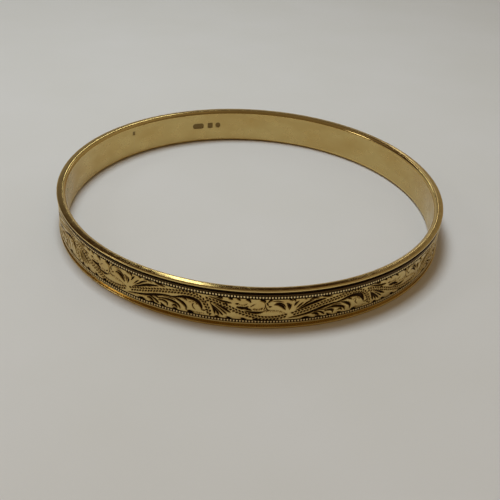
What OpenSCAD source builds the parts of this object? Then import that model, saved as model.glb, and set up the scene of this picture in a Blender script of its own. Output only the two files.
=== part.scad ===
// Closed slip-on bangle, fabricated from gold sheet and wire.
// An engraved outer strip and a plain inner liner stand between two rounded rims,
// with a milgrain wire let into the strip beside each rim.
// The bore runs along Z, the bangle stands on its lower rim at Z = 0,
// and the middle of the engraving's front faces -Y.

/* [Bangle] */
// Inside diameter, which is the size that a bangle is sold by
inner_d = 63; // [56:0.5:72]
// Thickness of the wall, from the wrist to the outside
wall = 1.5; // [1.4:0.05:2]
// Height of the bangle, from one rim to the other
bangle_h = 6.6; // [5.6:0.2:14]

/* [Rims] */
// Height of each rim at the outside, under the engraved strip
rim_h = 0.32; // [0.3:0.02:0.6]
// Height of each rim at the wrist side, under the liner
rim_wrist_h = 0.62; // [0.6:0.02:1]
// Radius that rounds the outer edge of each rim
outer_round = 0.3; // [0.1:0.02:0.3]
// Radius that rounds the wrist edge of each rim
wrist_round = 0.4; // [0.2:0.05:0.6]

/* [Engraved strip] */
// How far the strip's lands lie below the outside of the rims
land_drop = 0.1; // [0.05:0.01:0.12]
// How far the engraved field lies below the lands
field_drop = 0.06; // [0.02:0.01:0.1]
// Height of the turned groove beside each rim
groove_h = 0.43; // [0.2:0.01:0.5]
// Depth of the turned groove, from the outside of the rims
groove_depth = 0.35; // [0.2:0.05:0.5]
// Height of the plain land between groove and milgrain
land_h = 0.22; // [0.1:0.02:0.4]

/* [Milgrain] */
// Diameter of the milgrain wires
milgrain_d = 0.42; // [0.3:0.02:0.44]
// How far the milgrain stands proud of the lands
milgrain_proud = 0.04; // [0:0.01:0.05]

/* [Liner] */
// Thickness of the liner sheet
liner_t = 0.4; // [0.2:0.05:0.45]
// Air gap between the liner and the engraved strip
air_gap = 0.3; // [0.1:0.05:0.3]
// Depth of the blank punch marks inside the liner
punch_depth = 0.06; // [0.02:0.01:0.1]

/* [Solder seams] */
// Width of the seams that close the strip and the liner
seam_w = 0.14; // [0.08:0.02:0.3]
// Azimuth of the liner's seam, in degrees from +X
liner_seam_az = 139; // [90:1:180]
// Azimuth of the strip's seam, in degrees from +X
strip_seam_az = 90; // [60:1:120]

/* [Hidden] */
$fn = 96;

inner_r = inner_d / 2;
outer_r = inner_r + wall;
liner_outer_r = inner_r + liner_t;
strip_inner_r = liner_outer_r + air_gap;
land_r = outer_r - land_drop;
field_r = land_r - field_drop;
groove_r = outer_r - groove_depth;
strip_h = bangle_h - 2 * rim_h;
liner_h = bangle_h - 2 * rim_wrist_h;

// The milgrain wire lies on the floor of its seat, with a hair of room at the sides.
milgrain_r = milgrain_d / 2;
milgrain_centre_r = land_r + milgrain_proud - milgrain_r;
seat_floor_r = milgrain_centre_r - milgrain_r;
seat_side_room = 0.02;
seat_h = milgrain_d + 2 * seat_side_room;
seat_low_z = rim_h + groove_h + land_h;
milgrain_z = seat_low_z + seat_h / 2;

// The blank punch marks: a long one with round ends, then a square and a disc.
punch_below_top = 3;
punch_z = bangle_h - punch_below_top;
long_punch_az = 112;
square_punch_az = 107.4;
disc_punch_az = 104.4;
long_punch_w = 1.3;
punch_h = 1.2;

// Each rounding is three straight bevels, a quarter of a polygon with this many sides.
rounding_sides = 12;

// Radial length of the tools that cut the sheets, well past both faces.
cutter_l = 4;

gold = [0.80, 0.68, 0.42];
engraved_gold = [0.72, 0.60, 0.36];
bright_gold = [0.88, 0.77, 0.50];
solder = [0.78, 0.70, 0.50];

// Turns what stands in the lower half over into the upper half.
module turned_over() {
    translate([0, 0, bangle_h])
        rotate([180, 0, 0])
            children();
}

// Section of a rim, rounded at its free edges. A rebate at the outside takes the strip,
// and the liner stands on the higher wrist side.
module rim_section() {
    difference() {
        translate([inner_r, 0])
            square([wall, rim_wrist_h]);
        translate([strip_inner_r, rim_h])
            square([wall, rim_wrist_h]);
        rounded_off(inner_r, wrist_round, 1);
        rounded_off(outer_r, outer_round, -1);
    }
}

// What rounding takes off the square corner at edge_r. The metal lies beyond edge_r
// if side is 1, and short of it if side is -1.
module rounded_off(edge_r, round_r, side) {
    difference() {
        translate([side > 0 ? edge_r : edge_r - round_r, 0])
            square(round_r);
        translate([edge_r + side * round_r, round_r])
            circle(r = round_r, $fn = rounding_sides);
    }
}

module rim() {
    rotate_extrude()
        rim_section();
}

// A channel turned into the strip, from outside inwards to floor_r.
module channel(low_z, h, floor_r) {
    translate([floor_r, low_z])
        square([outer_r - floor_r, h]);
}

// Everything that is turned away from the lower half of the strip's outside.
module lower_channels() {
    channel(rim_h, groove_h, groove_r);
    channel(seat_low_z, seat_h, seat_floor_r);
}

// Section of the engraved strip, with grooves, lands, milgrain seats and the field.
module strip_section() {
    field_low_z = seat_low_z + seat_h;
    difference() {
        translate([strip_inner_r, rim_h])
            square([land_r - strip_inner_r, strip_h]);
        lower_channels();
        translate([0, bangle_h])
            mirror([0, 1])
                lower_channels();
        channel(field_low_z, bangle_h - 2 * field_low_z, field_r);
    }
}

module whole_strip() {
    rotate_extrude()
        strip_section();
}

module whole_liner() {
    translate([0, 0, rim_wrist_h])
        difference() {
            cylinder(r = liner_outer_r, h = liner_h);
            cylinder(r = inner_r, h = liner_h);
        }
}

// A thin radial slab at an azimuth: the place of a seam through a sheet.
module seam_slab(az) {
    rotate([0, 0, az])
        translate([inner_r - cutter_l / 2, -seam_w / 2, 0])
            cube([cutter_l, seam_w, bangle_h]);
}

// A tool at an azimuth that cuts just punch_depth into the wrist side of the liner.
module punched_at(az) {
    rotate([0, 0, az])
        translate([inner_r + punch_depth - cutter_l, 0, punch_z])
            rotate([0, 90, 0])
                children();
}

module punch_marks() {
    punched_at(long_punch_az) {
        translate([-punch_h / 2, -long_punch_w / 2, 0])
            cube([punch_h, long_punch_w, cutter_l]);
        for (side = [-1, 1])
            translate([0, side * long_punch_w / 2, 0])
                cylinder(d = punch_h, h = cutter_l);
    }
    punched_at(square_punch_az)
        translate([-punch_h / 2, -punch_h / 2, 0])
            cube([punch_h, punch_h, cutter_l]);
    punched_at(disc_punch_az)
        cylinder(d = punch_h, h = cutter_l);
}

module lower_rim() {
    color(gold)
        rim();
}

module upper_rim() {
    color(gold)
        turned_over()
            rim();
}

module inner_liner() {
    color(gold)
        difference() {
            whole_liner();
            seam_slab(liner_seam_az);
            punch_marks();
        }
}

module liner_solder_seam() {
    color(solder)
        intersection() {
            whole_liner();
            seam_slab(liner_seam_az);
        }
}

module engraved_strip() {
    color(engraved_gold)
        difference() {
            whole_strip();
            seam_slab(strip_seam_az);
        }
}

module strip_solder_seam() {
    color(solder)
        intersection() {
            whole_strip();
            seam_slab(strip_seam_az);
        }
}

module milgrain_wire() {
    translate([0, 0, milgrain_z])
        rotate_extrude()
            translate([milgrain_centre_r, 0])
                circle(r = milgrain_r);
}

module lower_milgrain_wire() {
    color(bright_gold)
        milgrain_wire();
}

module upper_milgrain_wire() {
    color(bright_gold)
        turned_over()
            milgrain_wire();
}

lower_rim();
upper_rim();
inner_liner();
liner_solder_seam();
engraved_strip();
strip_solder_seam();
lower_milgrain_wire();
upper_milgrain_wire();
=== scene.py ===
"""A closed gold bangle, hand-engraved between two milgrain wires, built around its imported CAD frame.

Everything is in metres in the CAD's frame: the bore runs along Z, the table is Z = 0, and the middle of
the engraving's front faces -Y. A place around the bangle is its turn, the angle from -Y towards +X. The
drawing of the engraving is in millimetres: x runs around the outside from the middle of the front, and z
is the height.
"""

import math

import bpy
import numpy as np
from mathutils import Matrix, Vector


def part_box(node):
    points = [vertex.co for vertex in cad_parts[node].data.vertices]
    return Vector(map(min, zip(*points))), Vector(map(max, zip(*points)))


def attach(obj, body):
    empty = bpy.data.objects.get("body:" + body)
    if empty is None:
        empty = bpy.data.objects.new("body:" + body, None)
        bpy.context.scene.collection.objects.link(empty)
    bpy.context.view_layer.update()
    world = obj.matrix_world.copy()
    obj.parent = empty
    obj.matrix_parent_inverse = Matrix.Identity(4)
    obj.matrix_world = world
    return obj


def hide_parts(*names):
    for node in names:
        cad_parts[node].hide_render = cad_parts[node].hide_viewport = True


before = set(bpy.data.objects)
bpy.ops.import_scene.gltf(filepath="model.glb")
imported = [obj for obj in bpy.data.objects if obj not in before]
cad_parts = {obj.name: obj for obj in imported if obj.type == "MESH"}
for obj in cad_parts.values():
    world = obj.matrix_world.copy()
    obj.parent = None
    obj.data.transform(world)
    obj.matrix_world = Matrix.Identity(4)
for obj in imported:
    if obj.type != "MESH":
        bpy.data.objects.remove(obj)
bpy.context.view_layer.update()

MM = 0.001
TAU = 2 * math.pi
rng = np.random.default_rng(1958)


def radii(node):
    """The smallest and largest distance of a CAD node from the bangle's axis."""
    distances = [vertex.co.xy.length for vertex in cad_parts[node].data.vertices]
    return min(distances), max(distances)


def heights(node):
    """The lowest and highest Z of a CAD node."""
    low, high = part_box(node)
    return low.z, high.z


# Sizes that the frame gives.
INNER_R, OUTER_R = radii("lower_rim")
BANGLE_H = heights("upper_rim")[1]
RIM_WRIST_H = heights("lower_rim")[1]
STRIP_INNER_R, LAND_R = radii("engraved_strip")
RIM_H = heights("engraved_strip")[0]
LINER_OUTER_R = radii("inner_liner")[1]
WIRE_LOW, WIRE_HIGH = heights("lower_milgrain_wire")
WIRE_R = (WIRE_HIGH - WIRE_LOW) / 2
WIRE_Z = (WIRE_HIGH + WIRE_LOW) / 2
WIRE_CENTRE_R = radii("lower_milgrain_wire")[1] - WIRE_R

# Details of the CAD sections, which repeat part.scad.
GROOVE_R = OUTER_R - 0.35 * MM
GROOVE_TOP = RIM_H + 0.43 * MM
SEAT_ROOM = 0.02 * MM
SEAT_LOW = WIRE_LOW - SEAT_ROOM
SEAT_HIGH = WIRE_HIGH + SEAT_ROOM
SEAT_FLOOR_R = WIRE_CENTRE_R - WIRE_R
FIELD_R = LAND_R - 0.06 * MM
SEAM_W = 0.14 * MM
PUNCH_DEPTH = 0.06 * MM


# ---------------------------------------------------------------- grids and meshes


# Faces that meet at more than this angle have a sharp edge between them.
SHARP_ANGLE = math.radians(50)


def turn_of(azimuth_degrees):
    """The turn, from -Y, of a CAD azimuth, which counts from +X."""
    return math.radians(azimuth_degrees + 90)


def ring_mesh(name, radius, height, turns, closed):
    """A ring from grids of radii and heights, with one row for each turn around the bangle.

    Each row is the closed outline of the section at that turn, anticlockwise with the radius to the
    right. An open ring is capped at both ends.
    """
    rows, around = radius.shape
    turn = turns[:, None]
    corners = np.stack([radius * np.sin(turn), -radius * np.cos(turn), height], axis=-1)
    index = np.arange(rows * around).reshape(rows, around)
    here = index if closed else index[:-1]
    ahead = np.roll(index, -1, axis=0) if closed else index[1:]
    faces = np.stack([here, ahead, np.roll(ahead, -1, axis=1), np.roll(here, -1, axis=1)], axis=-1)
    faces = faces.reshape(-1, 4).tolist()
    if not closed:
        faces += [index[0].tolist(), index[-1, ::-1].tolist()]
    mesh = bpy.data.meshes.new(name)
    mesh.from_pydata(corners.reshape(-1, 3).tolist(), [], faces)
    mesh.shade_smooth()
    mesh.set_sharp_from_angle(angle=SHARP_ANGLE)
    piece = bpy.data.objects.new(name, mesh)
    bpy.context.scene.collection.objects.link(piece)
    return piece


def paint(piece, label, values):
    """Stores a number for each vertex, which the piece's material reads by its label."""
    layer = piece.data.attributes.new(label, "FLOAT", "POINT")
    layer.data.foreach_set("value", np.ascontiguousarray(values, dtype=np.float32).ravel())


def arc(centre_r, centre_z, reach_r, reach_z, start, end, steps):
    """Outline points along part of an ellipse, from one angle to another.

    Angles are in degrees, anticlockwise from the radius direction.
    """
    angles = np.radians(np.linspace(start, end, steps + 1))
    return [(centre_r + reach_r * math.cos(a), centre_z + reach_z * math.sin(a)) for a in angles]


def softened(path, radius, steps=3):
    """The path with the corners between its ends rounded off by up to radius."""
    made = path[:1]
    for before, corner, after in zip(path, path[1:], path[2:]):
        corner = Vector(corner)
        back = Vector(before) - corner
        ahead = Vector(after) - corner
        reach = min(radius, back.length / 2, ahead.length / 2)
        start = corner + back.normalized() * reach
        end = corner + ahead.normalized() * reach
        for share in np.linspace(0, 1, steps + 1):
            made.append(tuple(start.lerp(corner, share).lerp(corner.lerp(end, share), share)))
    return made + path[-1:]


def turned_over(outline):
    """The outline that stands at the bottom of the bangle, moved to the top."""
    return [(r, BANGLE_H - z) for r, z in reversed(outline)]


def lathed(name, outline, turns, closed=True):
    """A ring with the same outline all the way round."""
    radius = np.tile([r for r, _ in outline], (len(turns), 1))
    height = np.tile([z for _, z in outline], (len(turns), 1))
    return ring_mesh(name, radius, height, turns, closed)


# ---------------------------------------------------------------- rims

RIM_STEPS = 720
# Width and height of the rounding at the outer edge, and the radius of the lip beside the groove.
OUTER_ROUND_W = 0.24 * MM
OUTER_ROUND_H = 0.1 * MM
LIP = 0.1 * MM


def rim_outline():
    """The lower rim's section: the rebate for the strip, the wrist side, the foot and the outside."""
    middle_r = (INNER_R + OUTER_R) / 2
    half_wall = (OUTER_R - INNER_R) / 2
    rebate = [(STRIP_INNER_R, RIM_H), (STRIP_INNER_R, RIM_WRIST_H)]
    wrist_side = arc(middle_r, RIM_WRIST_H, half_wall, RIM_WRIST_H, 180, 270, steps=14)
    outer_centre = (OUTER_R - OUTER_ROUND_W, OUTER_ROUND_H)
    outer_side = arc(*outer_centre, OUTER_ROUND_W, OUTER_ROUND_H, 270, 360, steps=10)
    lip = arc(OUTER_R - LIP, RIM_H - LIP, LIP, LIP, 0, 90, steps=6)
    return rebate + wrist_side + outer_side + lip


def rim(name, outline):
    """A rim of polished wire with this outline."""
    turns = np.arange(RIM_STEPS) * TAU / RIM_STEPS
    return lathed(name, outline, turns)


# ---------------------------------------------------------------- milgrain

BEADS = 468
BEAD_STEPS = 10
WIRE_SIDES = 16
# Share of the pitch that a bead fills, and the wire's radius between two beads as a share of theirs.
BEAD_SHARE = 0.82
BEAD_WAIST = 0.4
# Beads are smaller than the wire by up to this share.
BEAD_SPREAD = 0.07
# A bead's round section is stretched by this much, but cut flat at the worn outside and on the seat.
BEAD_FLAT = 1.35
# A bead keeps its colour where it swells above the first and faces outwards by more than the second. Below
# them it darkens over the third: dirt and painted shade between the beads, painted shade on the sides that
# face away.
UNDARKENED_SWELL = 0.9
UNSHADED_FACING = 0.5
DARKENING_FADE = 0.3
# The upper milgrain's drift off its straight line, in mm: its mean, and its swings once and twice round.
DRIFT_MEAN = 0.01
DRIFT_ONCE = -0.12
DRIFT_TWICE = -0.09


def no_drift(turn):
    """The lower milgrain runs straight."""
    return np.zeros_like(turn)


def upper_drift(turn):
    """How far the upper milgrain was run off its straight line, up at the left and down at the right."""
    return (DRIFT_MEAN + DRIFT_ONCE * np.sin(turn) + DRIFT_TWICE * np.sin(2 * turn)) * MM


def milgrain(name, centre_z, drift):
    """A wire rolled into beads, a little uneven as a hand-held wheel leaves them."""
    columns = np.arange(BEADS * BEAD_STEPS)
    turns = columns * TAU / len(columns)
    across = (columns % BEAD_STEPS) / BEAD_STEPS - 0.5
    swell = np.sqrt(np.clip(1 - (2 * across / BEAD_SHARE) ** 2, BEAD_WAIST**2, 1))
    bead_size = 1 - BEAD_SPREAD * rng.random(BEADS)
    wire_r = WIRE_R * swell * np.repeat(bead_size, BEAD_STEPS)
    around = np.arange(WIRE_SIDES) * TAU / WIRE_SIDES
    radius = WIRE_CENTRE_R + wire_r[:, None] * np.clip(BEAD_FLAT * np.cos(around), -1, 1)
    height = (centre_z + drift(turns))[:, None] + wire_r[:, None] * np.sin(around)
    piece = ring_mesh(name, radius, height, turns, closed=True)
    # Darkening painted on the beads: dirt and painted shade in the waists between them, and painted shade
    # on the sides that face away from outwards.
    dirt_and_shade_between = np.clip((UNDARKENED_SWELL - swell) / DARKENING_FADE, 0, 1)
    shade_on_far_sides = np.clip((UNSHADED_FACING - np.cos(around)) / DARKENING_FADE, 0, 1)
    paint(piece, "dirt_and_shade", np.maximum(dirt_and_shade_between[:, None], shade_on_far_sides))
    return piece


# ---------------------------------------------------------------- the drawing of the engraving

# One repeat of the pattern runs over this stretch of x, and the drawn heights over this stretch of z.
DRAWN_FROM, DRAWN_TO = -18.2, 6.6
DRAWN_LOW, DRAWN_HIGH = 1.43, 5.12
REPEATS = 8
# The engraver set the repeats closer together around this turn, which moves them by up to this share
# of a repeat.
TIGHTEST_TURN = math.radians(20)
TIGHTENING = 0.08

# Cuts of a graver, each a smooth path of (x, z), with its greatest width and the share of its length
# where it is widest. They start and end in a point.
STEM_CUTS = [
    ([(-18.0, 1.72), (-15.2, 2.3), (-12.6, 3.1), (-11.0, 3.45), (-9.7, 3.4)], 0.34, 0.6),
    ([(-9.9, 3.42), (-8.9, 3.05), (-8.2, 2.45), (-8.05, 1.65)], 0.36, 0.5),
    (
        [(-10.7, 3.42), (-9.7, 3.6), (-8.7, 3.88), (-7.5, 3.98), (-6.5, 3.7), (-5.95, 3.05),
         (-5.7, 2.3)],
        0.46,
        0.75,
    ),
    ([(-8.7, 3.7), (-8.2, 3.6), (-7.9, 3.3)], 0.22, 0.4),
    ([(-5.8, 2.3), (-5.4, 2.3), (-5.1, 2.5)], 0.16, 0.3),
    ([(-6.9, 3.25), (-7.15, 2.85), (-6.95, 2.4), (-6.6, 2.15)], 0.14, 0.3),
]
STEM_LEAF_CUTS = [
    ([(-14.3, 2.5), (-13.4, 2.4), (-12.8, 2.1), (-12.35, 1.7)], 0.3, 0.8),
    ([(-14.45, 2.05), (-13.9, 2.1), (-13.2, 1.65)], 0.3, 0.6),
    ([(-13.4, 2.75), (-12.6, 2.65), (-12.0, 2.4)], 0.14, 0.5),
    ([(-12.6, 2.25), (-11.7, 2.38), (-11.15, 2.2), (-11.0, 1.65)], 0.3, 0.7),
    ([(-12.6, 2.6), (-11.3, 2.8), (-10.2, 2.7), (-9.3, 2.3), (-8.95, 1.65)], 0.34, 0.65),
    ([(-11.6, 3.05), (-10.4, 3.12), (-9.4, 2.85)], 0.12, 0.5),
    ([(-10.3, 2.0), (-9.85, 2.2), (-9.4, 1.8)], 0.26, 0.6),
]
UPPER_FAN_CUTS = [
    ([(-16.95, 2.95), (-15.8, 3.4), (-14.6, 3.95), (-13.3, 4.35), (-12.3, 4.55)], 0.4, 0.65),
    ([(-16.6, 3.3), (-15.7, 3.85), (-15.1, 4.3), (-14.2, 4.65)], 0.3, 0.6),
    ([(-16.85, 3.35), (-16.25, 3.95), (-15.7, 4.45)], 0.2, 0.6),
    ([(-17.2, 3.85), (-16.9, 4.3), (-16.5, 4.7)], 0.28, 0.5),
    ([(-15.0, 4.7), (-14.2, 4.92), (-13.3, 4.8)], 0.2, 0.4),
    ([(-13.1, 4.95), (-12.3, 4.85), (-11.3, 4.68)], 0.26, 0.4),
    ([(-17.9, 3.1), (-17.65, 3.7), (-17.6, 4.3)], 0.2, 0.5),
    ([(-18.0, 3.3), (-18.1, 3.9), (-18.4, 4.4)], 0.2, 0.5),
]
LOWER_FAN_CUTS = [
    ([(-4.65, 3.85), (-4.3, 3.3), (-4.0, 2.65), (-3.8, 1.95)], 0.28, 0.75),
    ([(-4.45, 3.65), (-3.95, 3.0), (-3.5, 2.35), (-3.2, 1.85)], 0.24, 0.8),
    ([(-4.3, 3.6), (-3.6, 2.95), (-2.9, 2.25), (-2.6, 1.9)], 0.2, 0.8),
    ([(-4.15, 3.65), (-3.2, 3.0), (-2.45, 2.4), (-2.1, 2.1)], 0.2, 0.8),
    ([(-3.95, 3.75), (-2.8, 3.2), (-1.5, 2.45)], 0.28, 0.7),
]
ACANTHUS_CUTS = [
    ([(-5.0, 4.85), (-4.0, 4.62), (-2.9, 4.3), (-2.1, 4.2), (-1.4, 4.15)], 0.26, 0.75),
    ([(-4.2, 4.95), (-3.4, 4.8), (-2.7, 4.5)], 0.14, 0.6),
    ([(-0.95, 4.12), (-0.65, 4.1), (-0.4, 4.15)], 0.24, 0.5),
    ([(-0.8, 3.56), (0.0, 3.42), (0.6, 3.5), (1.0, 3.8)], 0.36, 0.45),
    ([(0.1, 3.5), (0.8, 3.32), (1.5, 3.1)], 0.36, 0.5),
    ([(0.3, 3.0), (1.3, 2.8), (2.3, 2.73), (3.2, 2.95)], 0.3, 0.6),
    ([(1.1, 3.65), (1.6, 3.98), (2.1, 4.35)], 0.12, 0.4),
    ([(3.0, 3.1), (3.35, 3.6), (3.3, 4.2), (3.0, 4.6)], 0.16, 0.4),
    ([(-2.6, 3.95), (-2.3, 3.9), (-2.0, 3.75)], 0.2, 0.4),
]
SCROLL_CUTS = [
    ([(4.6, 4.02), (5.2, 4.08), (5.8, 3.8), (6.2, 3.4), (6.45, 3.1)], 0.34, 0.6),
    ([(4.8, 4.45), (5.5, 4.4), (6.1, 4.05), (6.5, 3.5)], 0.26, 0.4),
    ([(4.2, 4.75), (5.2, 4.78), (6.2, 4.55)], 0.12, 0.5),
    ([(6.5, 4.45), (6.9, 4.1), (7.0, 3.6), (6.95, 3.25)], 0.2, 0.5),
    ([(3.55, 4.5), (3.65, 4.2), (3.85, 3.95)], 0.2, 0.4),
    ([(3.85, 3.85), (4.1, 3.78), (4.35, 3.85)], 0.2, 0.5),
    ([(3.7, 3.75), (3.55, 3.5), (3.7, 3.25), (4.1, 3.15)], 0.14, 0.5),
]
# Shading: rows of fine strokes that run from one path to another, with their number.
SHADING = [
    (
        [(3.3, 3.2), (4.4, 3.3), (5.6, 3.1), (6.3, 2.8)],
        [(3.0, 2.85), (4.5, 2.75), (5.5, 2.6), (6.2, 2.4)],
        13,
    ),
    ([(1.6, 3.2), (2.2, 3.1), (2.9, 3.3)], [(1.9, 3.55), (2.5, 3.5), (3.1, 3.8)], 7),
    ([(-7.7, 3.45), (-7.0, 3.6), (-6.4, 3.3)], [(-7.6, 3.0), (-7.1, 3.2), (-6.75, 3.0)], 6),
    ([(-7.5, 1.95), (-6.5, 1.8), (-5.5, 1.85)], [(-7.35, 1.65), (-6.5, 1.5), (-5.4, 1.6)], 9),
    ([(-0.7, 3.9), (0.0, 3.75), (0.6, 3.9)], [(-0.4, 4.25), (0.1, 4.1), (0.8, 4.3)], 6),
    (
        [(-9.3, 4.0), (-8.2, 4.25), (-7.0, 4.2), (-6.0, 3.8)],
        [(-9.2, 3.75), (-8.2, 4.05), (-7.1, 4.0), (-6.2, 3.65)],
        13,
    ),
]
# Greatest width of such a stroke, and the share of its length where it is widest.
SHADING_WIDTH = 0.11
SHADING_WIDEST = 0.3
# Ground cut away between the lobes, down from the upper edge and up from the foot.
GROUND_CUTS = [
    ([(-17.9, 5.1), (-17.5, 4.8)], 0.3, 0.1),
    ([(-15.6, 5.15), (-15.4, 4.85)], 0.36, 0.1),
    ([(-3.5, 5.15), (-3.0, 4.95), (-2.7, 4.7)], 0.4, 0.3),
    ([(-1.8, 5.15), (-1.3, 4.75)], 0.44, 0.2),
    ([(-0.75, 5.15), (-0.2, 4.62)], 0.36, 0.2),
    ([(0.5, 5.15), (1.0, 4.85), (1.3, 4.45)], 0.4, 0.3),
    ([(2.6, 5.15), (3.1, 4.85), (3.4, 4.5)], 0.5, 0.3),
    ([(4.4, 5.1), (3.95, 4.8), (3.7, 4.4)], 0.3, 0.2),
    ([(7.4, 5.1), (7.7, 4.8), (7.8, 4.5)], 0.36, 0.2),
    ([(-16.1, 1.45), (-15.3, 1.6), (-14.5, 1.45)], 0.3, 0.5),
    ([(-14.0, 1.6), (-13.4, 1.5), (-12.6, 1.42)], 0.26, 0.5),
    ([(-12.05, 1.95), (-11.9, 1.6), (-11.3, 1.45)], 0.26, 0.5),
    ([(-10.2, 1.7), (-9.9, 1.5), (-9.4, 1.42)], 0.3, 0.4),
    ([(-7.95, 1.62), (-7.5, 1.6), (-6.9, 1.42)], 0.34, 0.4),
    ([(-3.9, 1.45), (-3.5, 1.62), (-3.1, 1.42)], 0.28, 0.5),
    ([(-2.1, 1.7), (-1.8, 1.55), (-1.3, 1.42)], 0.34, 0.4),
    ([(-0.05, 1.75), (0.3, 1.55), (0.8, 1.42)], 0.34, 0.4),
    ([(1.7, 1.62), (2.2, 1.5), (2.9, 1.35)], 0.3, 0.4),
]
# Bands that carry two staggered rows of short stabs, each a path of (x, z) along the middle.
RIBBONS = [
    [(-17.4, 2.4), (-15.0, 3.12), (-12.5, 3.88), (-10.0, 4.43), (-8.2, 4.68), (-6.8, 4.6),
     (-5.75, 4.1), (-5.1, 3.2), (-4.75, 2.4), (-4.7, 1.8)],
    [(-5.2, 4.3), (-3.6, 3.95), (-2.0, 3.4), (-0.6, 2.83), (1.0, 2.3), (2.7, 1.88),
     (4.3, 1.8), (5.5, 1.95), (6.6, 2.25)],
]
# Spacing of the stabs along a row, and of the rows from the middle of the band.
STAB_PITCH = 0.5
STAB_OFFSET = 0.24
# Each stab is this long, and its far end leans this far to the middle of the band.
STAB_LENGTH = 0.2
STAB_LEAN = 0.1
# Its width, and the shares of it from the near end to the far one.
STAB_WIDTH = 0.29
STAB_SHAPE = (0.8, 1.0, 1.0, 0.8)

# Distance between the points of a smooth path, and the curve's steps from one drawn point to the next.
PATH_STEP = 0.05
CURVE_STEPS = 24
# The drawn widths are those of a cut's dark floor. Its mouth is this many times as wide.
MOUTH = 1.3
# Steepness of a cut's sides, and the depth that its floor levels off at.
CUT_SLOPE = 1.6
DEEPEST = 0.2
# How far the hand strays from the drawing with a cut and with a stab, and the share by which the widths
# of the cuts differ.
STRAY = 0.03
STAB_STRAY = 0.01
WIDTH_SPREAD = 0.1


def smooth_path(points):
    """Even points, PATH_STEP apart, along a Catmull-Rom curve through the given (x, z) points."""
    given = np.array(points, float)
    padded = np.vstack([2 * given[0] - given[1], given, 2 * given[-1] - given[-2]])
    share = np.linspace(0, 1, CURVE_STEPS, endpoint=False)[:, None]
    stretches = []
    for before, start, end, after in zip(padded, padded[1:], padded[2:], padded[3:]):
        stretches.append(
            start
            + 0.5 * share * (end - before)
            + share**2 * (before - 2.5 * start + 2 * end - 0.5 * after)
            + share**3 * (1.5 * (start - end) + 0.5 * (after - before))
        )
    curve = np.vstack(stretches + [given[-1:]])
    run = np.concatenate([[0], np.cumsum(np.linalg.norm(np.diff(curve, axis=0), axis=1))])
    stations = np.linspace(0, run[-1], max(2, round(run[-1] / PATH_STEP)))
    return np.stack([np.interp(stations, run, curve[:, axis]) for axis in (0, 1)], axis=1)


class Engraving:
    """The depth of the engraver's cuts, in mm, on a grid around the bangle, and the tools that cut it."""

    def __init__(self, columns, rows):
        self.columns = columns
        self.z = np.linspace(DRAWN_LOW, DRAWN_HIGH, rows)
        self.depth = np.zeros((columns, rows))
        self.turns = (np.arange(columns) / columns - 0.5) * TAU
        # A cut may run past the end of the grid, so the repeats are counted a quarter turn further.
        self.past_end = np.arange(-columns // 4, columns + columns // 4)
        turns = (self.past_end / columns - 0.5) * TAU
        start = DRAWN_FROM * MM / OUTER_R
        self.repeat = REPEATS * (turns - start) / TAU + TIGHTENING * (
            np.sin(turns - TIGHTEST_TURN) - math.sin(start - TIGHTEST_TURN)
        )

    def carve(self, repeat, path, half_width):
        """Drags a cone along the path. The cut's half width is given for each point of the path."""
        reach = half_width.max()
        drawn_x = DRAWN_FROM + (self.repeat - repeat) * (DRAWN_TO - DRAWN_FROM)
        near_x = (drawn_x > path[:, 0].min() - reach) & (drawn_x < path[:, 0].max() + reach)
        near_z = (self.z > path[:, 1].min() - reach) & (self.z < path[:, 1].max() + reach)
        x = drawn_x[near_x][:, None, None]
        z = self.z[near_z][None, :, None]
        distance = np.hypot(x - path[:, 0], z - path[:, 1])
        cut = (half_width - distance).max(axis=2) * CUT_SLOPE
        place = np.ix_(self.past_end[near_x] % self.columns, near_z)
        self.depth[place] = np.maximum(self.depth[place], cut)

    def gouge(self, repeat, points, width, widest):
        """A graver's cut that swells to its width and runs out to a point."""
        path = smooth_path(points) + rng.normal(0, STRAY, 2)
        share = np.linspace(0, 1, len(path))
        fullness = np.minimum(share / widest, (1 - share) / (1 - widest))
        half_width = MOUTH * width / 2 * (1 + rng.normal(0, WIDTH_SPREAD))
        self.carve(repeat, path, half_width * np.sqrt(fullness))

    def stab_rows(self, repeat, points):
        """Two staggered rows of stabs, along both sides of a band."""
        path = smooth_path(points)
        along = np.gradient(path, axis=0)
        along /= np.linalg.norm(along, axis=1)[:, None]
        sideways = np.stack([-along[:, 1], along[:, 0]], axis=1)
        pitch = round(STAB_PITCH / PATH_STEP)
        for side, first in ((1, 0), (-1, pitch // 2)):
            for place in range(first, len(path), pitch):
                start = path[place] + side * STAB_OFFSET * sideways[place]
                end = start + STAB_LENGTH * along[place] - side * STAB_LEAN * sideways[place]
                stab = np.linspace(start, end, len(STAB_SHAPE)) + rng.normal(0, STAB_STRAY, 2)
                self.carve(repeat, stab, STAB_WIDTH / 2 * np.array(STAB_SHAPE))

    def shade(self, repeat, start_path, end_path, strokes):
        """A row of fine strokes from one path to another."""
        starts, ends = smooth_path(start_path), smooth_path(end_path)
        for share in np.linspace(0, 1, strokes):
            start = starts[round(share * (len(starts) - 1))]
            end = ends[round(share * (len(ends) - 1))]
            self.gouge(repeat, [start, end], SHADING_WIDTH, SHADING_WIDEST)

    def cut_all(self):
        """Cuts the whole drawing, once for each repeat, counted from the one at the front."""
        for repeat in range(-REPEATS // 2 + 1, REPEATS // 2 + 1):
            for cuts in (
                STEM_CUTS,
                STEM_LEAF_CUTS,
                UPPER_FAN_CUTS,
                LOWER_FAN_CUTS,
                ACANTHUS_CUTS,
                SCROLL_CUTS,
                GROUND_CUTS,
            ):
                for points, width, widest in cuts:
                    self.gouge(repeat, points, width, widest)
            for points in RIBBONS:
                self.stab_rows(repeat, points)
            for start_path, end_path, strokes in SHADING:
                self.shade(repeat, start_path, end_path, strokes)
        self.depth = DEEPEST * np.tanh(self.depth / DEEPEST)


# ---------------------------------------------------------------- the engraved strip

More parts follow.
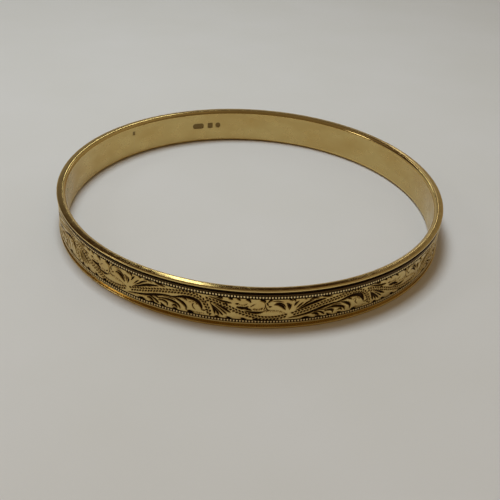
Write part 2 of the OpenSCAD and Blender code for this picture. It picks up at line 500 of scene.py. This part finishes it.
# The seam is two columns wide.
COLUMNS = 2 * round(TAU * OUTER_R / SEAM_W)
# Spacing of the rows that carry the drawing, in mm.
ROW_STEP = 0.05
# How far the corners of the strip's section are rounded off.
CORNER = 0.03 * MM
# How far uncut leaves stand above the CAD's plain field, which stands for leaves and cuts together.
FIELD_RISE = 0.05 * MM
# Leaves fall away towards the cuts by the depth around them, blurred over this many steps.
LEAF_BLUR = 5
# Darkening, from 0 to 1, in the turned grooves, on the plain lands beside them and in the milgrain's
# seats: dirt and painted shade in the upper groove and the seats, a little dirt in the lower groove, and
# painted shadow of the rim on the upper land.
UPPER_GROOVE_DIRT_AND_SHADE, UPPER_LAND_SHADOW = 1.0, 0.85
LOWER_GROOVE_DIRT, LOWER_LAND_DIRT = 0.06, 0.0
SEAT_DIRT_AND_SHADE = 0.95
# What lies this far below the land is groove or seat.
BELOW_LAND = 0.0075 * MM
# A cut this deep, in mm, is fully darkened with dirt and painted shade.
DIRT_AND_SHADE_DEPTH = 0.055
# Thin dirt, up to this much, also spreads around the cuts over this many steps of blurring.
SPREAD_DIRT = 0.3
SPREAD_BLUR = 6
# Rows of the field, along each milgrain, that are as dark as its seat, with dirt and painted shade.
EDGE_ROWS = 3


def blurred(grid, steps):
    """The grid averaged with its neighbours, steps times over. It closes on itself around the bangle."""
    for _ in range(steps):
        grid = (np.roll(grid, 1, axis=0) + 2 * grid + np.roll(grid, -1, axis=0)) / 4
        padded = np.pad(grid, ((0, 0), (1, 1)), mode="edge")
        grid = (padded[:, :-2] + 2 * grid + padded[:, 2:]) / 4
    return grid


def strip_edge():
    """The strip's lower edge, from the inside: its foot, the groove, the land and the milgrain's seat."""
    path = [
        (STRIP_INNER_R, RIM_H),
        (GROOVE_R, RIM_H),
        (GROOVE_R, GROOVE_TOP),
        (LAND_R, GROOVE_TOP),
        (LAND_R, SEAT_LOW),
        (SEAT_FLOOR_R, SEAT_LOW),
        (SEAT_FLOOR_R, SEAT_HIGH),
        (FIELD_R, SEAT_HIGH),
    ]
    return softened(path, CORNER)


def edge_dirt_and_shade(edge, groove_dirt_and_shade, land_shade):
    """How dark each point of the strip's edge is painted, with dirt and painted shade."""
    in_groove = edge[:, 0] < LAND_R - BELOW_LAND
    in_seat = in_groove & (edge[:, 1] > SEAT_LOW - CORNER)
    return np.where(in_seat, SEAT_DIRT_AND_SHADE, np.where(in_groove, groove_dirt_and_shade, land_shade))


def strip_grids():
    """Radii, heights, dirt and turns of the strip's outline, for the whole way round."""
    rows = round((DRAWN_HIGH - DRAWN_LOW) / ROW_STEP) + 1
    engraving = Engraving(COLUMNS, rows)
    engraving.cut_all()
    cut = engraving.depth * MM
    field_r = FIELD_R + FIELD_RISE - cut - blurred(cut, LEAF_BLUR)

    # The groove stays straight. The milgrain seat and the edge of the field drift with the milgrain.
    drift = upper_drift(engraving.turns)[:, None]
    lower = np.array(strip_edge())
    upper = np.array(turned_over(strip_edge()))
    drifts = upper[:, 1] < BANGLE_H - GROOVE_TOP - CORNER
    top_z = BANGLE_H - SEAT_HIGH + drift
    field_z = SEAT_HIGH + (top_z - SEAT_HIGH) * np.linspace(0, 1, rows)

    def all_round(values):
        return np.tile(values, (COLUMNS, 1))

    radius = np.hstack([all_round(lower[:, 0]), field_r, all_round(upper[:, 0])])
    height = np.hstack([all_round(lower[:, 1]), field_z, all_round(upper[:, 1]) + drift * drifts])
    # Painted shadow of the rim darkens the upper land. The upper groove and the seats carry dirt and
    # painted shade.
    lower_dirt_and_shade = edge_dirt_and_shade(lower, LOWER_GROOVE_DIRT, LOWER_LAND_DIRT)
    upper_dirt_and_shade = edge_dirt_and_shade(lower, UPPER_GROOVE_DIRT_AND_SHADE, UPPER_LAND_SHADOW)[::-1]
    # Cuts are darkened by their depth, with dirt and painted shade, and thin dirt spreads around them.
    in_cuts = np.clip(engraving.depth / DIRT_AND_SHADE_DEPTH, 0, 1)
    field_dirt_and_shade = np.maximum(in_cuts, SPREAD_DIRT * blurred(in_cuts, SPREAD_BLUR))
    field_dirt_and_shade[:, :EDGE_ROWS] = field_dirt_and_shade[:, -EDGE_ROWS:] = SEAT_DIRT_AND_SHADE
    dirt_and_shade = np.hstack([all_round(lower_dirt_and_shade), field_dirt_and_shade, all_round(upper_dirt_and_shade)])
    return radius, height, dirt_and_shade, engraving.turns


def sector(name, grids, columns):
    """The part of the strip that lies on these columns, with its dirt and painted shade on it."""
    radius, height, dirt_and_shade, turns = (grid[columns] for grid in grids)
    piece = ring_mesh(name, radius, height, turns, closed=False)
    paint(piece, "dirt_and_shade", dirt_and_shade)
    return piece


# ---------------------------------------------------------------- liner

# Azimuth of the liner's seam, in degrees as in part.scad.
LINER_SEAM_AZ = 139
# Spacing of the liner's columns, away from the punch marks and among them.
LINER_STEP = 0.6 * MM
PUNCH_STEP = 0.06 * MM
# Number of its columns from the punch marks to the seam, and of rows below and above the marks.
COLUMNS_TO_SEAM = 24
ROWS_BELOW, ROWS_ABOVE = 6, 10
# Height of the middle of the blank punch marks, and how tall they are.
PUNCH_Z = BANGLE_H - 3 * MM
PUNCH_H = 1.2 * MM
# The azimuth of each mark, how long its straight middle is, and how square its ends are.
PUNCHES = [(112, 1.3 * MM, 2), (107.4, 0, 8), (104.4, 0, 2)]
PUNCHED_FROM, PUNCHED_TO = turn_of(102), turn_of(116)
# Share of a mark's half height over which its edge slopes.
PUNCH_EDGE = 0.16
# The pit where the solder of the seam has shrunk back: its middle, half height and depth, how square
# its ends are, and how many times as deep it would be without its flat floor.
SEAM_PIT_Z = BANGLE_H - 1.7 * MM
SEAM_PIT_H = 0.4 * MM
SEAM_PIT_DEPTH = 0.08 * MM
SEAM_PIT_SQUARENESS = 4
SEAM_PIT_FULLNESS = 1.3


def liner_turns():
    """Turns of the liner's columns, from seam to seam, close together where the punch marks are."""
    half_seam = SEAM_W / 2 / INNER_R
    seam = turn_of(LINER_SEAM_AZ)
    before = np.arange(seam - TAU + half_seam, PUNCHED_FROM, LINER_STEP / INNER_R)
    through = np.arange(PUNCHED_FROM, PUNCHED_TO, PUNCH_STEP / INNER_R)
    after = np.linspace(PUNCHED_TO, seam - half_seam, COLUMNS_TO_SEAM)
    return np.concatenate([before, through, after])


def seam_pit(turn, z):
    """How deep the liner's solder seam has shrunk back, which it has in one place below the top."""
    away = ((z - SEAM_PIT_Z) / SEAM_PIT_H) ** SEAM_PIT_SQUARENESS
    return SEAM_PIT_DEPTH * np.clip(SEAM_PIT_FULLNESS - away, 0, 1) * np.ones_like(turn)


def punched(turn, z):
    """How deep the punch marks, and the pit at the seam, are sunk into the liner at a place."""
    depth = np.zeros(np.broadcast(turn, z).shape)
    for azimuth, straight, squareness in PUNCHES:
        along = np.abs(turn - turn_of(azimuth)) * INNER_R
        along = np.maximum(along - straight / 2, 0) / (PUNCH_H / 2)
        across = np.abs(z - PUNCH_Z) / (PUNCH_H / 2)
        edge = (along**squareness + across**squareness) ** (1 / squareness)
        depth = np.maximum(depth, PUNCH_DEPTH * np.clip((1 - edge) / PUNCH_EDGE, 0, 1))
    from_seam = np.abs(np.remainder(turn - turn_of(LINER_SEAM_AZ) + math.pi, TAU) - math.pi)
    beside_seam = from_seam < LINER_STEP / 2 / INNER_R
    return np.maximum(depth, seam_pit(turn, z) * beside_seam)


def liner_sector(name, turns, sunk):
    """A stretch of the liner, whose wrist side is sunk by a function of turn and height."""
    low, high = RIM_WRIST_H, BANGLE_H - RIM_WRIST_H
    below = np.linspace(low, PUNCH_Z - PUNCH_H, ROWS_BELOW)
    through = np.arange(PUNCH_Z - PUNCH_H, PUNCH_Z + PUNCH_H, PUNCH_STEP)[1:]
    above = np.linspace(PUNCH_Z + PUNCH_H, high, ROWS_ABOVE)
    inside_z = np.concatenate([below, through, above])[::-1]
    depth = sunk(turns[:, None], inside_z[None, :])
    outside = np.zeros((len(turns), 2))
    radius = np.hstack([outside + LINER_OUTER_R, INNER_R + depth])
    height = np.tile(np.concatenate([[low, high], inside_z]), (len(turns), 1))
    piece = ring_mesh(name, radius, height, turns, closed=False)
    paint(piece, "dirt_and_shade", np.hstack([outside, np.clip(depth / PUNCH_DEPTH, 0, 1)]))
    return piece


# ---------------------------------------------------------------- finishes

RIM_GOLD = (0.73, 0.53, 0.20)
LINER_GOLD = (0.62, 0.46, 0.18)
ENGRAVED_GOLD = (0.63, 0.46, 0.175)
# The beads' gold is paler than the rims': polished tops, and partly a painted sheen in place of glints.
BEAD_GOLD_WITH_PAINTED_SHEEN = (0.92, 0.70, 0.34)
SOLDER = (0.60, 0.45, 0.19)
# The tarnish colour is also the brown first step, and the dark colour the second, of the dirt and painted
# shade on the strip.
TARNISH_AND_SHADE_GOLD = (0.50, 0.30, 0.08)
DARK_DIRT_AND_SHADE = (0.045, 0.022, 0.009)
GREASE = (0.09, 0.045, 0.012)
# Noise stays between about the first two values. Tarnish is full where it rises to the third.
NOISE_LOW, NOISE_HIGH = 0.3, 0.7
FULL_TARNISH = 0.75
# Numbers of the Mix node's sockets when it mixes colours.
MIX_SHARE, MIX_COLOUR, MIX_OTHER_COLOUR = 0, 6, 7
MIX_RESULT = 2


def add_node(tree, kind, inputs=None, **settings):
    """A new node with these settings, whose inputs are linked or given a value."""
    made = tree.nodes.new(kind)
    for label, value in settings.items():
        setattr(made, label, value)
    for label, value in (inputs or {}).items():
        if isinstance(value, bpy.types.NodeSocket):
            tree.links.new(value, made.inputs[label])
        else:
            made.inputs[label].default_value = value
    return made


def ranged(tree, value, low, high, to_low=0.0, to_high=1.0):
    """The value carried over from one range to another, and kept inside it."""
    inputs = {"Value": value, "From Min": low, "From Max": high, "To Min": to_low, "To Max": to_high}
    return add_node(tree, "ShaderNodeMapRange", inputs).outputs["Result"]


def mixed(tree, share, colour, other_colour):
    """The colour, turned to another one where the share is 1."""
    inputs = {MIX_SHARE: share, MIX_COLOUR: colour, MIX_OTHER_COLOUR: other_colour}
    return add_node(tree, "ShaderNodeMix", inputs, data_type="RGBA").outputs[MIX_RESULT]


class Finish:
    """A procedural surface, put together node by node, which is metal unless it is changed."""

    def __init__(self, name, colour, roughness=0.3):
        self.material = bpy.data.materials.new(name)
        self.material.use_nodes = True
        self.tree = self.material.node_tree
        self.shader = self.tree.nodes["Principled BSDF"]
        self.shader.inputs["Metallic"].default_value = 1.0
        self.shader.inputs["Roughness"].default_value = roughness
        self.shader.inputs["Base Color"].default_value = (*colour, 1)
        self.colour = (*colour, 1)
        self.place = self.node("ShaderNodeTexCoord").outputs["Object"]

    def node(self, kind, inputs=None, **settings):
        """A new node of this material."""
        return add_node(self.tree, kind, inputs, **settings)

    def noise(self, waves, detail=3.0):
        """Noise with this many waves per metre along x, y and z."""
        scaled = self.node("ShaderNodeVectorMath", {0: self.place, 1: waves}, operation="MULTIPLY")
        inputs = {"Vector": scaled.outputs[0], "Scale": 1.0, "Detail": detail}
        return self.node("ShaderNodeTexNoise", inputs).outputs["Fac"]

    def painted(self, label):
        """The number painted on the mesh under this label."""
        return self.node("ShaderNodeAttribute", attribute_name=label).outputs["Fac"]

    def ranged(self, value, low, high, to_low=0.0, to_high=1.0):
        """The value carried over from one range to another, inside this material."""
        return ranged(self.tree, value, low, high, to_low, to_high)

    def tint(self, share, colour):
        """Turns the metal to another colour where the share is 1."""
        self.colour = mixed(self.tree, share, self.colour, (*colour, 1))
        self.tree.links.new(self.colour, self.shader.inputs["Base Color"])

    def tarnish(self, waves, begins, share):
        """Turns patches of the metal tarnished, by up to this share, where the noise rises past begins."""
        self.tint(self.ranged(self.noise(waves), begins, FULL_TARNISH, to_high=share), TARNISH_AND_SHADE_GOLD)

    def soil_and_shade(self, colour, unmarked, fully_marked, share):
        """Turns the metal to a colour, by up to this share, where its painted dirt and shade rise above
        unmarked.
        """
        self.tint(self.ranged(self.painted("dirt_and_shade"), unmarked, fully_marked, to_high=share), colour)

    def roughen(self, value):
        """Takes the roughness from this value."""
        self.tree.links.new(value, self.shader.inputs["Roughness"])

    def relief(self, value, depth):
        """Raises the surface by up to depth metres where the value is 1."""
        bump = self.node("ShaderNodeBump", {"Height": value, "Distance": depth})
        self.tree.links.new(bump.outputs[0], self.shader.inputs["Normal"])


def rim_gold():
    """Polished wire with fine scratches along it and a little tarnish."""
    finish = Finish("rim gold", RIM_GOLD)
    finish.tarnish((260, 260, 900), begins=0.45, share=0.35)
    polish = finish.noise((900, 900, 4000))
    finish.roughen(finish.ranged(polish, NOISE_LOW, NOISE_HIGH, to_low=0.08, to_high=0.2))
    finish.relief(finish.noise((350, 350, 9000), detail=5), 0.0008 * MM)
    return finish.material


def liner_gold():
    """Wrist side, worn satin by the skin, with soft smudges."""
    finish = Finish("liner gold", LINER_GOLD)
    finish.tarnish((120, 120, 260), begins=0.4, share=0.5)
    finish.soil_and_shade(GREASE, unmarked=0.3, fully_marked=1.0, share=0.8)
    smudges = finish.noise((300, 300, 500))
    finish.roughen(finish.ranged(smudges, NOISE_LOW, NOISE_HIGH, to_low=0.22, to_high=0.38))
    finish.relief(finish.noise((500, 500, 3000), detail=5), 0.004 * MM)
    return finish.material


def engraved_gold():
    """Hand-engraved strip: bright leaves, dirt and painted shade in its cuts, painted shadow on the upper
    land.
    """
    finish = Finish("engraved gold", ENGRAVED_GOLD)
    finish.tarnish((400, 400, 400), begins=0.45, share=0.5)
    # Painted darkening, brown then dark: dirt and painted shade in the cuts, grooves and seats, painted
    # shadow on the upper land.
    finish.soil_and_shade(TARNISH_AND_SHADE_GOLD, unmarked=0.0, fully_marked=0.4, share=0.9)
    finish.soil_and_shade(DARK_DIRT_AND_SHADE, unmarked=0.3, fully_marked=0.9, share=0.98)
    finish.roughen(finish.ranged(finish.painted("dirt_and_shade"), 0.0, 1.0, to_low=0.24, to_high=0.55))
    finish.relief(finish.noise((1500, 1500, 1500), detail=4), 0.012 * MM)
    return finish.material


def milgrain_gold():
    """Beads in a paler gold, partly painted sheen, with painted shade on their sides and dirt and shade
    between.
    """
    finish = Finish("milgrain gold", BEAD_GOLD_WITH_PAINTED_SHEEN, roughness=0.2)
    # Dirt and painted shade between the beads, painted shade on their sides.
    finish.soil_and_shade(DARK_DIRT_AND_SHADE, unmarked=0.1, fully_marked=0.9, share=0.97)
    finish.relief(finish.noise((5000, 5000, 5000)), 0.003 * MM)
    return finish.material


def solder():
    """Gold solder, a little greyer and duller than the sheets that it joins."""
    finish = Finish("solder", SOLDER, roughness=0.32)
    # Across the strip, the seam carries the strip's dirt and painted shade.
    finish.soil_and_shade(DARK_DIRT_AND_SHADE, unmarked=0.3, fully_marked=1.0, share=0.9)
    finish.relief(finish.noise((3000, 3000, 3000)), 0.006 * MM)
    return finish.material


# ---------------------------------------------------------------- camera, light and table

# The camera's place, its angles in degrees and its lens in mm.
CAMERA_AT = (0.00063, -0.12053, 0.06842)
CAMERA_YAW = 0.037
CAMERA_PITCH = 32.223
CAMERA_ROLL = 3.64
LENS = 55.84
SENSOR_WIDTH = 36
NEAREST_SEEN = 5 * MM
TABLE_SIZE = 1.2
LIGHT_DISTANCE = 0.35
# The room ahead and at the left, at these elevations in degrees: pale, then dark, and dim overhead.
ROOM_BANDS = [
    (0, (0.42, 0.41, 0.39)),
    (15, (0.42, 0.41, 0.39)),
    (26, (0.22, 0.20, 0.17)),
    (31, (0.03, 0.015, 0.006)),
    (43, (0.05, 0.025, 0.010)),
    (52, (0.20, 0.16, 0.12)),
    (90, (0.17, 0.14, 0.11)),
]
# The room at the right and behind the camera, and where along X and Y it changes over to them.
RIGHT = (0.28, 0.235, 0.165)
BEHIND = (0.15, 0.115, 0.07)
RIGHT_FROM, RIGHT_TO = 0.12, 0.3
BEHIND_FROM, BEHIND_TO = 0.1, -0.4
# Colours of the light, and of the paper where its noise is low and high, and how much the paper shines.
DAYLIGHT = (0.785, 0.89, 0.975)
WINDOW_LIGHT = (0.94, 1.0, 0.94)
WARM_LIGHT = (1.0, 0.58, 0.22)
PAPER, PALER_PAPER = (0.66, 0.64, 0.60), (0.68, 0.66, 0.63)
PAPER_SHINE = 0.2


def add_camera():
    """The camera at the photograph's viewing angle, tipped down from the horizon and rolled a little."""
    camera = bpy.data.objects.new("camera", bpy.data.cameras.new("camera"))
    camera.data.lens = LENS
    camera.data.sensor_width = SENSOR_WIDTH
    camera.data.clip_start = NEAREST_SEEN
    yaw = Matrix.Rotation(math.radians(CAMERA_YAW), 4, "Z")
    tilt = Matrix.Rotation(math.radians(90 - CAMERA_PITCH), 4, "X")
    roll = Matrix.Rotation(math.radians(CAMERA_ROLL), 4, "Z")
    camera.matrix_world = Matrix.Translation(CAMERA_AT) @ yaw @ tilt @ roll
    bpy.context.scene.collection.objects.link(camera)
    bpy.context.scene.camera = camera


def add_softbox(name, direction, size, brightness, colour=(1, 1, 1), mirrored=True):
    """An area light LIGHT_DISTANCE away that looks at the bangle, with its radiance as brightness.

    The size is its width and height in metres. One that is not mirrored lights the paper and casts
    shadows, but leaves no reflection on the gold.
    """
    width, height = size
    light = bpy.data.lights.new(name, "AREA")
    light.shape = "RECTANGLE"
    light.size = width
    light.size_y = height
    light.energy = brightness * math.pi * width * height
    light.color = colour
    lamp = bpy.data.objects.new(name, light)
    lamp.location = Vector(direction).normalized() * LIGHT_DISTANCE
    lamp.rotation_euler = (-lamp.location).to_track_quat("-Z", "Y").to_euler()
    lamp.visible_glossy = mirrored
    bpy.context.scene.collection.objects.link(lamp)


def add_lights():
    """A soft key light, a warm one from behind the camera, and three windows that the gold mirrors."""
    add_softbox("key", (-0.16, 0.165, 0.973), (0.12, 0.12), 17.6, DAYLIGHT, mirrored=False)
    add_softbox("warm bounce", (0, -0.5, 0.85), (0.4, 0.24), 0.36, WARM_LIGHT, mirrored=False)
    add_softbox("left window", (-0.11, 0.80, 0.585), (0.02, 0.08), 4.0, WINDOW_LIGHT)
    add_softbox("right window", (0.23, 0.85, 0.469), (0.012, 0.05), 2.0)
    add_softbox("side window", (-0.8, -0.1, 0.6), (0.08, 0.08), 3.0)


def add_room():
    """A room that is banded by elevation, but plain at the right and behind the camera."""
    world = bpy.data.worlds.new("room")
    world.use_nodes = True
    tree = world.node_tree
    direction = add_node(tree, "ShaderNodeTexCoord").outputs["Generated"]
    split = add_node(tree, "ShaderNodeSeparateXYZ", {0: direction})
    bands = add_node(tree, "ShaderNodeValToRGB", {0: split.outputs["Z"]})
    stops = bands.color_ramp.elements
    while len(stops) < len(ROOM_BANDS):
        stops.new(1.0)
    for stop, (elevation, colour) in zip(stops, ROOM_BANDS):
        stop.position = math.sin(math.radians(elevation))
        stop.color = (*colour, 1)
    at_right = ranged(tree, split.outputs["X"], RIGHT_FROM, RIGHT_TO)
    behind = ranged(tree, split.outputs["Y"], BEHIND_FROM, BEHIND_TO)
    room = mixed(tree, at_right, bands.outputs[0], (*RIGHT, 1))
    room = mixed(tree, behind, room, (*BEHIND, 1))
    tree.links.new(room, tree.nodes["Background"].inputs["Color"])
    bpy.context.scene.world = world


def add_table():
    """A plain pale sheet of paper."""
    half = TABLE_SIZE / 2
    mesh = bpy.data.meshes.new("table")
    corners = [(-half, -half, 0), (half, -half, 0), (half, half, 0), (-half, half, 0)]
    mesh.from_pydata(corners, [], [(0, 1, 2, 3)])
    table = bpy.data.objects.new("table", mesh)
    bpy.context.scene.collection.objects.link(table)
    paper = Finish("paper", PAPER, roughness=0.7)
    paper.shader.inputs["Metallic"].default_value = 0.0
    paper.shader.inputs["Specular IOR Level"].default_value = PAPER_SHINE
    paper.tint(paper.ranged(paper.noise((40, 40, 40)), NOISE_LOW, NOISE_HIGH), PALER_PAPER)
    paper.relief(paper.noise((2500, 2500, 2500)), 0.02 * MM)
    mesh.materials.append(paper.material)


# ---------------------------------------------------------------- the bangle


def fit(piece, node, material):
    """Puts a finished piece in the place of its CAD node."""
    piece.data.materials.append(material)
    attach(piece, "root")
    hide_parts(node)


def build():
    """Makes all eight pieces of the bangle."""
    rim_metal, liner_metal, engraved_metal = rim_gold(), liner_gold(), engraved_gold()
    milgrain_metal, solder_metal = milgrain_gold(), solder()

    fit(rim("lower_rim_polished", rim_outline()), "lower_rim", rim_metal)
    fit(rim("upper_rim_polished", turned_over(rim_outline())), "upper_rim", rim_metal)

    # The seam lies across the ends of the grids, and the strip takes the rest.
    grids = strip_grids()
    strip = sector("engraved_strip_cut", grids, np.arange(1, COLUMNS))
    fit(strip, "engraved_strip", engraved_metal)
    strip_seam = sector("strip_seam_filed", grids, np.array([-1, 0, 1]))
    fit(strip_seam, "strip_solder_seam", solder_metal)

    liner = liner_sector("inner_liner_worn", liner_turns(), punched)
    fit(liner, "inner_liner", liner_metal)
    half_seam = SEAM_W / 2 / INNER_R
    seam_turns = turn_of(LINER_SEAM_AZ) + np.array([-half_seam, 0, half_seam])
    liner_seam = liner_sector("liner_seam_filed", seam_turns, seam_pit)
    fit(liner_seam, "liner_solder_seam", solder_metal)

    lower = milgrain("lower_milgrain_beads", WIRE_Z, no_drift)
    fit(lower, "lower_milgrain_wire", milgrain_metal)
    upper = milgrain("upper_milgrain_beads", BANGLE_H - WIRE_Z, upper_drift)
    fit(upper, "upper_milgrain_wire", milgrain_metal)


build()
add_camera()
add_room()
add_lights()
add_table()
bpy.context.scene.view_settings.view_transform = "Standard"
